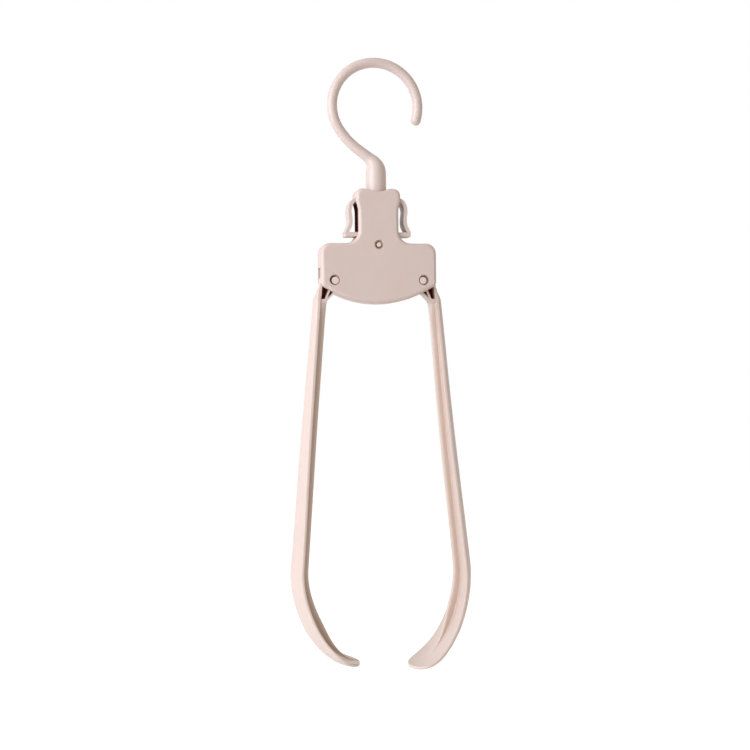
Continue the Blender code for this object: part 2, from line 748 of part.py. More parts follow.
def arm_rings(side):
    """The arm's T section at each station: a crowned flange with a narrow web on its inner face.

    The flange's outer face is crowned and its inner face is flat, so it is thickest over the web.
    Down the curve the arm also bows to the front, as a coat hanger follows the shoulders.
    """
    points, normals, lengths, straight, shares = arm_path()
    width, crown, emerge = flange_sizes(lengths, straight, shares)
    half = width / 2
    web = np.minimum(WEB_THICKNESS / 2, half * WEB_TIP_SHARE) / half
    sunk = (1 - emerge) * (FLANGE_THICKNESS - CLEAR_GAP)
    fade = 1 - smooth((shares - WEB_FADE_SHARE) / (WEB_END_SHARE - WEB_FADE_SHARE))

    def skin(across):
        return (1 - FLANGE_RIM_DROP_SHARE * across**2) * crown - sunk

    outer = np.linspace(-1, 1, SECTION_STEPS + 1)
    section = [(across, skin(across)) for across in outer]
    bulge = 1 + 2 * FLANGE_RIM_BULGE / width.max()
    middle = skin(1) - FLANGE_THICKNESS / 2
    root = skin(1) - FLANGE_THICKNESS
    below = [(1, root), (web, root)]
    edge = (root - WEB_LEAST_HEIGHT) * (1 - fade) - (FLANGE_THICKNESS + WEB_REACH) * fade
    soft = edge + (root - edge) * WEB_EDGE_SHARE
    section += [(bulge, middle), *below, (web, soft), (web * WEB_EDGE_FLAT_SHARE, edge)]
    section += [(-web * WEB_EDGE_FLAT_SHARE, edge), (-web, soft)]
    section += [(-across, n) for across, n in below[::-1]] + [(-bulge, middle)]
    y = np.stack([across * half for across, _ in section], axis=1)
    y = y - (ARM_TIP_BOW * shares**2)[:, None]
    n = np.stack([rise for _, rise in section], axis=1)
    x = points[:, :1] + normals[:, :1] * n
    z = points[:, 1:] + normals[:, 1:] * n
    return np.stack((side * x, y, z), axis=-1)


def skin_x(z):
    """How far out from the pivot the middle of the flange's skin is, at a height near the root."""
    points, normals, lengths, straight, shares = arm_path()
    crown = flange_sizes(lengths, straight, shares)[1]
    middle = points[:, 0] + normals[:, 0] * (crown * ROOT_BITE_SHARE - FLANGE_THICKNESS / 2)
    return float(np.interp(-z, -points[:, 1], middle))


def root_outline():
    """The ribbed root between hub, flange and web. Its inner end is the stop for the folded arm."""
    bottom = -ROOT_DROP - ROOT_LIP
    reach = BODY_HALF_WIDTH - PIVOT_HALF_SPAN - RUNNING_GAP
    start = -FLANGE_START_DROP - FLANGE_EMERGE_LENGTH
    return [
        (-ROOT_STOP_OVERHANG, ARM_TOP_RISE),
        (-ROOT_STOP_OVERHANG, -ROOT_STOP_DROP),
        (web_x(-ROOT_DROP), -ROOT_DROP),
        (web_x(bottom), bottom),
        (skin_x(bottom), bottom),
        (skin_x(start), start),
        (reach, ARM_TOP_RISE),
    ]


def pocket_outlines():
    """The two pockets of the root, on each side of the rib that runs out from the hub."""
    ray = unit(ROOT_RIB_ANGLE)
    across = np.array((-ray[1], ray[0]))
    hub = ARM_HUB_RADIUS + ROOT_RIB_THICKNESS / 3
    half = ROOT_RIB_THICKNESS / 2
    low = -ROOT_DROP + ROOT_RIB_THICKNESS
    reach = math.sqrt(hub**2 - half**2)
    near = ray * reach + across * half
    foot = near + ray * (low - near[1]) / ray[1]
    high = -ROOT_RIB_THICKNESS * 1.5
    hub_end = math.asin(high / hub)
    wrap = arc((0, 0), hub, hub_end, math.atan2(near[1], near[0]), steps=3)
    outer = [
        (rim_x(high) - FLANGE_THICKNESS, high),
        *wrap,
        tuple(foot),
        (rim_x(low) - FLANGE_THICKNESS, low),
    ]
    stop = np.array((-ROOT_STOP_OVERHANG, -ROOT_STOP_DROP))
    web = np.array((web_x(-ROOT_DROP), -ROOT_DROP))
    edge = (web - stop) / np.linalg.norm(web - stop)
    inward = np.array((-edge[1], edge[0]))
    start = stop + inward * ROOT_RIB_THICKNESS
    start = start + edge * (ROOT_STOP_OVERHANG + ROOT_RIB_THICKNESS / 2 - start[0]) / edge[0]
    side = ray * reach - across * half
    gap = start - side
    far = (edge[0] * gap[1] - edge[1] * gap[0]) / (edge[0] * ray[1] - edge[1] * ray[0])
    corner = side + ray * far
    top = (start[0], -math.sqrt(hub**2 - start[0] ** 2))
    inner = [tuple(side), top, tuple(start), tuple(corner)]
    return outer, inner


def tooth_angle():
    """Where round the hub a tooth that swings about the barrel moves straight in and out."""
    to_barrel = np.array(BARREL) - np.array((PIVOT_HALF_SPAN, 0))
    away = math.acos(TOOTH_TIP_RADIUS / np.linalg.norm(to_barrel))
    return math.atan2(to_barrel[1], to_barrel[0]) + away


def bar_outline(angle, near, far, half_width, far_half_width):
    """A bar that points away from the hub's middle, as an outline."""
    ray = unit(angle)
    across = np.array((-ray[1], ray[0]))
    return [
        tuple(ray * near - across * half_width),
        tuple(ray * far - across * far_half_width),
        tuple(ray * far + across * far_half_width),
        tuple(ray * near + across * half_width),
    ]


def arm(word, side, parts, cutters, material):
    origin = (side * PIVOT_HALF_SPAN, 0, PIVOT_Z)
    hub_half = ARM_HUB_HALF_WIDTH
    hub_circle = arc((0, 0), ARM_HUB_RADIUS, 0, math.radians(360.0), steps=LATHE_STEPS)[:-1]
    name = f"{word}_arm"
    obj = place(name, loft(name, arm_rings(side)), parts, origin)
    hub = slab(f"{name}_hub", hub_circle, -hub_half, hub_half)
    root = slab(f"{name}_root", mirrored(root_outline(), side), -hub_half, hub_half)
    for mesh in (root, hub):
        boolean(obj, as_cutter(place(mesh.name, mesh, cutters, origin)), "UNION")
    travel = np.linalg.norm(np.array(BARREL) - np.array((PIVOT_HALF_SPAN, 0))) * LEVER_LOCK_ANGLE
    floor = TOOTH_TIP_RADIUS - travel - NOTCH_FLOOR_GAP
    outside = ARM_HUB_RADIUS + OVERRUN
    notch_half = TOOTH_HALF_WIDTH + RUNNING_GAP
    cuts = []
    for number, turn in enumerate((0, ARM_OPEN_ANGLE)):
        outline = bar_outline(tooth_angle() - turn, floor, outside, notch_half, notch_half)
        cuts.append((f"{name}_notch_{number}", outline, -hub_half - OVERRUN, hub_half + OVERRUN))
    bore_radius = PIVOT_PIN_RADIUS + RUNNING_GAP
    bore = arc((0, 0), bore_radius, 0, math.radians(360.0), steps=LATHE_STEPS)[:-1]
    cuts.append((f"{name}_bore", bore, -hub_half - OVERRUN, hub_half + OVERRUN))
    for number, outline in enumerate(pocket_outlines()):
        floor_y = hub_half - ROOT_FLOOR_THICKNESS
        cuts.append((f"{name}_pocket_{number}", outline, -hub_half - OVERRUN, floor_y))
    pieces = [
        place(cut_name, slab(cut_name, mirrored(outline, side), front, back), cutters, origin)
        for cut_name, outline, front, back in cuts
    ]
    boolean(obj, joined(f"{name}_cuts", pieces, cutters), "DIFFERENCE")
    return finish(obj, material)


# Release levers, as (x, z) in the casing's frame


def barrel_circle(radius):
    return arc(BARREL, radius, 0, math.radians(360.0), steps=LATHE_STEPS)[:-1]


def strip_line():
    """The wavy finger strip, from the barrel out of the neck and down to its heel."""
    neck = NECK_HALF_WIDTH
    shoulder = (neck + LEVER_STAND_OFF * 0.2, BARREL[1] + LEVER_THICKNESS / 6)
    wave = [
        (neck + LEVER_STAND_OFF * out, BARREL[1] - LEVER_STRIP_LENGTH * down)
        for down, out in STRIP_WAVE_SHARES
    ]
    heel = (neck + LEVER_STAND_OFF, FOOT_Z + LEG_HALF / 2)
    return through([BARREL, shoulder, *wave, heel])


def tooth_outline():
    """The leg's tooth, drawn towards the middle of the hub."""
    tip = TOOTH_TIP_RADIUS
    outline = bar_outline(
        tooth_angle(), tip, tip + TOOTH_REACH, TOOTH_HALF_WIDTH * 0.7, TOOTH_HALF_WIDTH
    )
    return [(x + PIVOT_HALF_SPAN, z) for x, z in outline]


def leg_line():
    """The leg inside the casing, straight down and then out to the tooth."""
    root = np.array((PIVOT_HALF_SPAN, 0)) + unit(tooth_angle()) * (TOOTH_TIP_RADIUS + TOOTH_REACH)
    return [(LEG_X, FOOT_Z), (LEG_X, FOOT_Z - LEVER_LEG_STRAIGHT), tuple(root)]


def lever(word, side, parts, cutters, material):
    origin = (side * BARREL[0], 0, PIVOT_Z + BARREL[1])
    name = f"{word}_release_lever"
    half = LEVER_HALF_WIDTH
    tooth_half = ARM_HUB_HALF_WIDTH - RUNNING_GAP

    def piece(part_name, outline, half_width):
        local = [(x - BARREL[0], z - BARREL[1]) for x, z in outline]
        return slab(part_name, mirrored(local, side), -half_width, half_width)

    strip = ribbon(strip_line(), LEVER_THICKNESS / 2)
    obj = place(name, piece(name, strip, half), parts, origin)
    heel = (NECK_HALF_WIDTH + LEVER_STAND_OFF + LEVER_THICKNESS / 3, FOOT_Z)
    foot = ribbon([heel, (LEG_X - LEG_HALF, FOOT_Z)], LEG_HALF)
    pieces = (
        (f"{name}_barrel", barrel_circle(LEVER_BARREL_RADIUS), half),
        (f"{name}_foot", foot, half),
        (f"{name}_leg", ribbon(leg_line(), LEG_HALF), half),
        (f"{name}_tooth", tooth_outline(), tooth_half),
    )
    for part_name, outline, half_width in pieces:
        mesh = piece(part_name, outline, half_width)
        boolean(obj, as_cutter(place(part_name, mesh, cutters, origin)), "UNION")
    inner = LEG_X - LEG_HALF
    profile = [
        (0, SPIGOT_LENGTH),
        (SPIGOT_RADIUS, SPIGOT_LENGTH),
        (SPIGOT_RADIUS, -LEG_HALF),
        (0, -LEG_HALF),
    ]
    seat = (side * inner, 0, PIVOT_Z + SPRING_Z)
    spigot = turned(f"{name}_spigot", profile, cutters, seat, axis="X")
    spigot.rotation_euler = (0, -side * math.radians(90.0), 0)
    boolean(obj, as_cutter(spigot), "UNION")
    return finish(obj, material)


def least_gap(points, wire_radius, skip):
    """The least gap between two places on a wire that are at least skip points apart."""
    line = np.array(points)
    apart = np.linalg.norm(line[:, None] - line[None, :], axis=2)
    steps = np.abs(np.subtract.outer(np.arange(len(line)), np.arange(len(line))))
    return apart[steps >= skip].min() - 2 * wire_radius


def spring(parts, material):
    """The latch spring, one wound wire between the legs."""
    end = LEG_X - LEG_HALF - CLEAR_GAP - SPRING_WIRE_RADIUS
    count = SPRING_TURNS * TURN_POINTS
    shares = np.arange(count + 1) / count
    turn = shares * SPRING_TURNS * math.radians(360.0)
    points = [
        (x, SPRING_RADIUS * math.cos(a), SPRING_RADIUS * math.sin(a))
        for x, a in zip((2 * shares - 1) * end, turn)
    ]
    gap = least_gap(points, SPRING_WIRE_RADIUS, skip=TURN_POINTS // 2)
    print(f"latch_spring: least gap to itself {gap / MM:.2f} mm")
    mesh = tube("latch_spring", points, [SPRING_WIRE_RADIUS] * len(points), resolution=1)
    obj = place("latch_spring", mesh, parts, (0, 0, PIVOT_Z + SPRING_Z))
    return finish(obj, material)


def main():
    clear_scene()
    parts = new_collection("folding_travel_hanger")
    cutters = new_collection("cutters")
    casing_colour = (0.64, 0.53, 0.485)
    shell = plastic("casing_plastic", casing_colour, 0.42)
    hook_plastic = plastic("hook_plastic", casing_colour, 0.38)
    arm_plastic = plastic("arm_plastic", casing_colour, 0.4)
    lever_plastic = plastic("lever_plastic", casing_colour, 0.42)
    pin_plastic = plastic("pin_plastic", casing_colour, 0.38)
    steel = plastic("spring_steel", (0.56, 0.57, 0.58), 0.3, 1.0)
    shared = casing_cutters(cutters)
    cover("front_cover", -1, shared, parts, cutters, shell)
    cover("rear_cover", 1, shared, parts, cutters, shell)
    hook(parts, hook_plastic)
    for name, place_xz, radius in pin_places():
        pin(name, place_xz, radius, parts, pin_plastic)
    for word, side in (("left", -1), ("right", 1)):
        arm(word, side, parts, cutters, arm_plastic)
        lever(word, side, parts, cutters, lever_plastic)
    spring(parts, steel)


main()
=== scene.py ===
"""The folding travel hanger dressed for its picture.

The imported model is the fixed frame. The hook, the arms' blades, the pins and the spring are worked
out again as finer surfaces from the sizes of the model's source. The covers, the levers and the
arms' roots are copies of their nodes with merged faces and rounded edges. The arms follow the
photograph, in which the left and the right one aren't quite alike.

Metres, +Z up, -Y to the front. The origin is the top of the hook's inside. Heights of the casing
and the arms are written from the line through the two arm pivots. Side is -1 on the left and 1 on
the right.
"""

import math

import bmesh
import bpy
import numpy as np
from mathutils import Matrix, Vector
from mathutils.bvhtree import BVHTree


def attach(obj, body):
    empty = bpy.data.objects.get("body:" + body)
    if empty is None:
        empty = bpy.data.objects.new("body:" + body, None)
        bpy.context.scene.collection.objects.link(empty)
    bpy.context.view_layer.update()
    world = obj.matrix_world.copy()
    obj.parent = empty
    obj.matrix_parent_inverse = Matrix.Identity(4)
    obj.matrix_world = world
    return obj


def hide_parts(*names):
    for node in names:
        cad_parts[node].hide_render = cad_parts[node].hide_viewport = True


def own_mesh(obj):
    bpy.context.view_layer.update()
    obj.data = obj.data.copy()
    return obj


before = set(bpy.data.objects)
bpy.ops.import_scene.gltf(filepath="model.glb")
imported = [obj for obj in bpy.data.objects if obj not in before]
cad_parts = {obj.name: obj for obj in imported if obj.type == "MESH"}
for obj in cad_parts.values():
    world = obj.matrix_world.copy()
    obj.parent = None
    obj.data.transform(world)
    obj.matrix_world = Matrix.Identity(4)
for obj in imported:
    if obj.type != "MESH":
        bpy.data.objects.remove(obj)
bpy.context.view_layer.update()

MM = 0.001

# Hook
HOOK_INNER_RADIUS = 20.1 * MM
WIRE_RADIUS = 2.6 * MM
HOOK_RADIUS = HOOK_INNER_RADIUS + WIRE_RADIUS
HOOK_CENTRE_Z = -HOOK_INNER_RADIUS
HOOK_TIP_ANGLE = math.radians(-17.5)
HOOK_BEND_ANGLE = math.radians(214.8)
HOOK_BEND_DROP = 21.9 * MM
HOOK_BEND_START_PULL = 16.2 * MM
HOOK_BEND_END_PULL = 10.0 * MM
STEM_RADIUS = 5.3 * MM
STEM_GROOVE_RADIUS = 4.0 * MM
STEM_SHOULDER = 4.2 * MM
STEM_GROOVE = 2.2 * MM
STEM_COLLAR = 2.4 * MM
# How far round the bend, and how much of the way from the wire's radius to the stem's
STEM_SWELL_SHARES = (
    (0, 0),
    (0.25, 0.02),
    (0.5, 0.07),
    (0.6, 0.12),
    (0.75, 0.47),
    (0.9, 0.88),
    (1, 1),
)
HOOK_SIDES = 64
HOOK_RING_STATIONS = 181
HOOK_TIP_STATIONS = 16
HOOK_BEND_STATIONS = 90

# Round ends stop this far round, and a fan of faces closes them
ROUND_END = math.radians(88.0)

# Casing and pins
PIVOT_Z = -110.8 * MM
PIVOT_HALF_SPAN = 23.5 * MM
HALF_DEPTH = 6.5 * MM
NECK_TOP = 47.4 * MM
CENTRE_PIN_Z = 18.3 * MM
SPRING_Z = 11.5 * MM
PIVOT_PIN_RADIUS = 2.0 * MM
CENTRE_PIN_RADIUS = 1.45 * MM
PIN_NOSE_RECESS = 0.3 * MM
PIVOT_NOSE_RADIUS = 1.92 * MM
CENTRE_NOSE_RADIUS = 1.25 * MM
PIVOT_NOSE_SHIFT = 0.4 * MM
PIN_HOLE_MARGIN = 0.5 * MM
PIVOT_HOLE_FLARE = 0.25 * MM
CENTRE_HOLE_FLARE = 0.55 * MM
# Where each hole is, its radius and how much wider its mouth is
PIN_HOLES = (
    ((-PIVOT_HALF_SPAN, PIVOT_Z), PIVOT_PIN_RADIUS + PIN_HOLE_MARGIN, PIVOT_HOLE_FLARE),
    ((PIVOT_HALF_SPAN, PIVOT_Z), PIVOT_PIN_RADIUS + PIN_HOLE_MARGIN, PIVOT_HOLE_FLARE),
    ((0.0, PIVOT_Z + CENTRE_PIN_Z), CENTRE_PIN_RADIUS + PIN_HOLE_MARGIN, CENTRE_HOLE_FLARE),
)
PIN_STEP_DEPTH = 1.9 * MM
PIN_HEAD_FLANGE = 0.7 * MM
PIN_HEAD_THICKNESS = 1.1 * MM
PIN_HEAD_RECESS = 0.3 * MM
PIN_CHAMFER = 0.3 * MM
PIN_SIDES = 96

# Arms
ARM_ROOT_OFFSET = 7.25 * MM
ARM_SHOULDER_SPREADS = {-1: 19.3 * MM, 1: 19.9 * MM}
ARM_SHOULDER_DROP = 153.0 * MM
ARM_TIP_INSETS = {-1: 8.5 * MM, 1: 12.4 * MM}
ARM_TIP_DROPS = {-1: 42.1 * MM, 1: 45.2 * MM}
ARM_CURVE_PULLS = {-1: 0.9 * MM, 1: 0.8 * MM}
ARM_STRAIGHT_PULLS = {-1: -0.3 * MM, 1: 0.6 * MM}
ARM_TIP_BOW = 15.0 * MM
STRAIGHT_STATIONS = 60
CURVE_STATIONS = 90
ARM_TIP_STATIONS = 36
CURVE_SAMPLES = 721
FLANGE_THICKNESS = 1.5 * MM
FLANGE_ROOT_WIDTH = 6.0 * MM
FLANGE_SHOULDER_WIDTH = 22.5 * MM
FLANGE_TIP_WIDTH = 38.0 * MM
FLANGE_NARROW_WIDTH = 5.2 * MM
FLANGE_ROOT_CROWN = 2.2 * MM
FLANGE_SHOULDER_CROWN = 4.5 * MM
FLANGE_CURVE_CROWN = 4.5 * MM
FLANGE_TIP_CROWN = 2.2 * MM
FLANGE_RIM_DROP_SHARE = 0.85
FLANGE_START_DROP = 2.1 * MM
FLANGE_EMERGE_LENGTH = 2.4 * MM
FLANGE_FLARE_LENGTH = 6.0 * MM
FLANGE_TIP_ROUNDING = 17.0 * MM
FLANGE_RIM_BULGE = 0.4 * MM
OUTER_POINTS = 41
RIM_POINTS = 11
INNER_POINTS = 17
ARM_HUB_HALF_WIDTH = 3.0 * MM
# Pocket floors more than this behind the hub's front, and facing the front this much, get the
# painted shade
POCKET_SHADE_DEPTH = 2.0 * MM
POCKET_FLOOR_TURN = 0.5
WEB_THICKNESS = 2.0 * MM
WEB_REACH = 3.1 * MM
# Where round the curve the web starts to get lower, and where it ends
WEB_FADE_SHARES = {-1: (0.5, 1.06), 1: (0.36, 0.82)}
WEB_CURVE_GROWTH = 0.15
WEB_TIP_SHARE = 0.4
WEB_FILLET = 0.5 * MM
WEB_FILLET_POINTS = 6
WEB_ROOT_GROWTH = 1.8 * MM
WEB_ROOT_LENGTH = 9.0 * MM
WEB_EDGE_ROUNDING = 1.8 * MM
WEB_EDGE_ROUND_SHARE = 0.85
WEB_EDGE_POINTS = 11
ROOT_CUT_Z = -12.1 * MM
BLADE_OVERLAP = 1.0 * MM
BLADE_SHRINK = 0.03 * MM

# Spring
SPRING_RADIUS = 2.1 * MM
SPRING_WIRE_RADIUS = 0.28 * MM
SPRING_HALF_LENGTH = 5.52 * MM
SPRING_TURNS = 7
SPRING_TURN_STATIONS = 20
SPRING_WIRE_SIDES = 12

# Copies of nodes
FLAT_ANGLE = math.radians(1.0)
SHARP_ANGLE = math.radians(38.0)
MERGE_DISTANCE = 0.002 * MM
COVER_EDGE = 0.18 * MM
LEVER_EDGE = 0.28 * MM
ROOT_EDGE = 0.18 * MM
EDGE_SEGMENTS = 2
# A face is inside where a line of this length from it meets a cover's wall. Of these only the
# pins' holes and the neck between the two heights show, and they get the dark red painted shade.
INSIDE_REACH = 70.0 * MM
NECK_SHADE = (20.0 * MM, 42.0 * MM)

# Finishes
FLOW_SIZE = 14.0 * MM
FLOW_DETAIL = 3.0
GLOSS_SIZE = 5.0 * MM
GLOSS_LESS = 0.04
GLOSS_MORE = 0.05
# Painted shade in inner corners: short rays from the surface that meet the piece itself
CORNER_SHADE_REACH = 8.0 * MM
CORNER_SHADE_RAYS = 8
# The painted corner shade is full where this share of the short rays is free, and gone at the next
# share
CORNER_SHADE_FULL = 0.6
CORNER_SHADE_NONE = 0.85
# Colour of the painted corner shade
PAINTED_CORNER_SHADE = "#C4AB9A"
# Colour of the dark red painted shade in its own inner corners
PAINTED_SHADE_TONE = "#6E2418"
GRAIN_SIZE = 0.35 * MM
GRAIN_HEIGHT = 0.02 * MM
GRAIN_STRENGTH = 0.1
PLASTIC_IOR = 1.49
PLASTIC_SCATTER = 0.12
PLASTIC_SCATTER_RADIUS = (1.0, 0.5, 0.35)
PLASTIC_SCATTER_SIZE = 1.2 * MM
# Little mirroring in the painted shade keeps it dark
PAINTED_SHADE_MIRROR = 0.1
WIRE_ROUGHNESS = (0.24, 0.38)
PAPER_ROUGHNESS = 0.9
WHITE = (1.0, 1.0, 1.0, 1.0)

# The photograph's camera: the picture is 750 pixels wide, and the lens is 1423 of them long.
# It stands to the left, at the height of the arms' upper part.
PICTURE_WIDTH = 750
SENSOR_WIDTH = 36.0
LENS = 68.3
CLIP_NEAR = 0.01
CLIP_FAR = 20.0
CAMERA_DISTANCE = 740.0 * MM
CAMERA_Z = -159.8 * MM
CAMERA_TURN = math.radians(11.8)
CAMERA_ROLL = 0.0125
AXIS_PIXELS_RIGHT = 3.35

# Stage and light: cool lamps from the left, in a warm, bright room
ROOM_LIGHT = 0.46
ROOM_TINT = (1.065, 1.0, 0.90)
FLOOR_HALF_WIDTH = 3.0
FLOOR_Z = -0.46
FLOOR_GLOW = 0.6
LAMP_TINT = (0.92, 0.995, 1.11)
LAMP_SIZE = 0.7
LAMP_DISTANCE = 1.4
LAMP_AIM = (0.0, 0.0, -0.16)
# Each lamp's direction and its power in watts
LAMPS = {
    "key": ((-0.90, -0.43, 0.25), 9.9),
    "upper": ((-0.75, -0.20, 0.60), 4.2),
    "front": ((-0.58, -0.64, 0.30), 2.9),
}


# Surfaces


def unit(angle):
    return np.array((math.cos(angle), math.sin(angle)))


def smooth(share):
    """0 to 1 with level ends: 3s^2 - 2s^3."""
    share = np.clip(share, 0, 1)
    return share * share * (3 - 2 * share)


def eased(shares, table):
    """A smooth curve through a table's points: cubic pieces with the mean slope at each point."""
    known, values = np.array(table, dtype=float).T
    slopes = np.gradient(values, known)
    index = np.clip(np.searchsorted(known, shares) - 1, 0, len(known) - 2)
    step = known[index + 1] - known[index]
    s = (shares - known[index]) / step
    start, end = values[index], values[index + 1]
    rise = (slopes[index] * (1 - s) - slopes[index + 1] * s) * step
    blend = s * s * (3 - 2 * s)
    return start + (end - start) * blend + s * (1 - s) * rise


def outward(mesh):
    """Turns a closed mesh's faces outwards, and shades it smooth up to its sharp edges."""
    work = bmesh.new()
    work.from_mesh(mesh)
    bmesh.ops.recalc_face_normals(work, faces=work.faces)
    work.to_mesh(mesh)
    work.free()
    mesh.shade_smooth()
    mesh.set_sharp_from_angle(angle=SHARP_ANGLE)
    return mesh


def piece(name, mesh, body, material, node):
    """An object that rides a body, has a slot's material and takes a node's place."""
    obj = bpy.data.objects.new(name, mesh)
    bpy.context.scene.collection.objects.link(obj)
    mesh.materials.append(material)
    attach(obj, body)
    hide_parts(node)
    return obj


def closed_skin(name, rings):
    """A closed surface through rings[station, point, xyz], with a fan of faces at each end."""
    stations, count, _ = rings.shape
    ends = (rings[0].mean(axis=0), rings[-1].mean(axis=0))
    points = np.vstack((rings.reshape(-1, 3), *ends))
    here = (np.arange(stations - 1) * count)[:, None] + np.arange(count)
    ahead = np.roll(here, -1, axis=1)
    quads = np.stack((here, ahead, ahead + count, here + count), axis=-1).reshape(-1, 4)
    first = np.arange(count)
    last = first + (stations - 1) * count
    top = np.full(count, len(points) - 2)
    fans = (
        np.stack((np.roll(first, -1), first, top), axis=1),
        np.stack((last, np.roll(last, -1), top + 1), axis=1),
    )
    faces = quads.tolist() + fans[0].tolist() + fans[1].tolist()
    mesh = bpy.data.meshes.new(name)
    mesh.from_pydata(points.tolist(), [], faces)
    return outward(mesh)


def tube_rings(line, radii, around):
    """Circles of the given radii, square to a line of points: p + r (cos a n + sin a b)."""
    tangent = np.gradient(line, axis=0)
    tangent /= np.linalg.norm(tangent, axis=1)[:, None]
    side = np.cross(tangent, (0.0, 1.0, 0.0))
    side /= np.linalg.norm(side, axis=1)[:, None]
    other = np.cross(tangent, side)
    angles = np.linspace(0, 2 * math.pi, around, endpoint=False)
    turned = side[:, None] * np.cos(angles)[:, None] + other[:, None] * np.sin(angles)[:, None]
    return line[:, None] + radii[:, None, None] * turned


# Hook


def hook_rings():
    """A tube along the hook's line: round tip, ring, a cubic bend, then the stem with its groove.

    The bend is (1-s)^3 start + 3 s (1-s)^2 handle + 3 s^2 (1-s) landing + s^3 end.
    """
    centre = np.array((0, HOOK_CENTRE_Z))
    back = np.linspace(ROUND_END, 0, HOOK_TIP_STATIONS, endpoint=False)
    tip_angles = HOOK_TIP_ANGLE - WIRE_RADIUS / HOOK_RADIUS * np.sin(back)
    ring_angles = np.linspace(HOOK_TIP_ANGLE, HOOK_BEND_ANGLE, HOOK_RING_STATIONS)
    angles = np.concatenate((tip_angles, ring_angles))
    ring = centre + HOOK_RADIUS * np.stack((np.cos(angles), np.sin(angles)), axis=1)
    radii = [WIRE_RADIUS * np.cos(back), np.full(len(ring_angles), WIRE_RADIUS)]
    start = ring[-1]
    ahead = np.array((-math.sin(HOOK_BEND_ANGLE), math.cos(HOOK_BEND_ANGLE)))
    end = np.array((0, start[1] - HOOK_BEND_DROP))
    handle = start + HOOK_BEND_START_PULL * ahead
    landing = end + np.array((0, HOOK_BEND_END_PULL))
    shares = np.linspace(0, 1, HOOK_BEND_STATIONS + 1)[1:]
    s = shares[:, None]
    bend = start * (1 - s) ** 3 + 3 * handle * s * (1 - s) ** 2
    bend = bend + 3 * landing * s**2 * (1 - s) + end * s**3
    radii.append(WIRE_RADIUS + (STEM_RADIUS - WIRE_RADIUS) * eased(shares, STEM_SWELL_SHARES))
    neck = PIVOT_Z + NECK_TOP
    shoulder = neck - STEM_SHOULDER
    collar = shoulder - STEM_GROOVE
    foot = collar - STEM_COLLAR
    edge = PIN_CHAMFER
    stem = np.array(
        (
            (neck, STEM_RADIUS),
            (shoulder + edge, STEM_RADIUS),
            (shoulder, STEM_RADIUS - edge),
            (shoulder - edge / 4, STEM_GROOVE_RADIUS),
            (collar + edge / 4, STEM_GROOVE_RADIUS),
            (collar, STEM_RADIUS - edge),
            (collar - edge, STEM_RADIUS),
            (foot + edge, STEM_RADIUS),
            (foot, STEM_RADIUS - edge),
        )
    )
    radii.append(stem[:, 1])
    stem_line = np.stack((np.zeros(len(stem)), stem[:, 0]), axis=1)
    flat = np.vstack((ring, bend, stem_line))
    line = np.stack((flat[:, 0], np.zeros(len(flat)), flat[:, 1]), axis=1)
    return tube_rings(line, np.concatenate(radii), HOOK_SIDES)


# Arms


def arm_line(side, cut_drop):
    """The blade's middle line below a height: a straight part, then nearly a quarter of an ellipse.

    The straight part touches the ellipse. Both are then pulled in by a pull times sin^2, which is
    nothing at their ends and most in their middles.

    Gives each station's place and outward direction from the pivot, its length along the arm, the
    straight part's length, and how far round the ellipse it is, from 0 to 1. Stations close up
    towards the round tip as a sine does.
    """
    inset = ARM_TIP_INSETS[side]
    centre = np.array((-inset, -ARM_SHOULDER_DROP))
    half = np.array((ARM_SHOULDER_SPREADS[side] + inset, ARM_TIP_DROPS[side]))
    root = np.array((ARM_ROOT_OFFSET, 0))
    scaled = (root - centre) / half
    touch = math.atan2(scaled[1], scaled[0]) - math.acos(1 / np.linalg.norm(scaled))
    meeting = centre + half * unit(touch)
    along = (meeting - root) / np.linalg.norm(meeting - root)
    first = root + along * FLANGE_START_DROP
    straight = np.linalg.norm(meeting - first)
    start = (first[1] - cut_drop) / -along[1]
    lengths = np.linspace(start, straight, STRAIGHT_STATIONS, endpoint=False)
    line = first + lengths[:, None] * along
    turns = np.linspace(touch, -math.pi / 2, CURVE_SAMPLES)
    fine = centre + half * np.stack((np.cos(turns), np.sin(turns)), axis=1)
    steps = np.linalg.norm(np.diff(fine, axis=0), axis=1)
    fine_length = np.concatenate(([0], np.cumsum(steps)))
    tip_start = fine_length[-1] - FLANGE_TIP_ROUNDING
    tip_stops = FLANGE_TIP_ROUNDING * np.sin(np.linspace(0, ROUND_END, ARM_TIP_STATIONS))
    curve_stops = np.linspace(0, tip_start, CURVE_STATIONS, endpoint=False)
    stops = np.concatenate((curve_stops, tip_start + tip_stops))
    angles = np.interp(stops, fine_length, turns)
    curve = centre + half * np.stack((np.cos(angles), np.sin(angles)), axis=1)
    line_normal = np.tile((-along[1], along[0]), (len(line), 1))
    curve_normal = np.stack((half[1] * np.cos(angles), half[0] * np.sin(angles)), axis=1)
    normals = np.vstack((line_normal, curve_normal))
    normals /= np.linalg.norm(normals, axis=1)[:, None]
    lengths = np.concatenate((lengths, straight + stops))
    shares = np.concatenate((np.zeros(len(line)), stops / fine_length[-1]))
    part = np.clip(lengths / straight, 0, 1)
    pull = ARM_CURVE_PULLS[side] * np.sin(math.pi * shares) ** 2
    pull += ARM_STRAIGHT_PULLS[side] * np.sin(math.pi * part) ** 2
    return np.vstack((line, curve)) - pull[:, None] * normals, normals, lengths, straight, shares


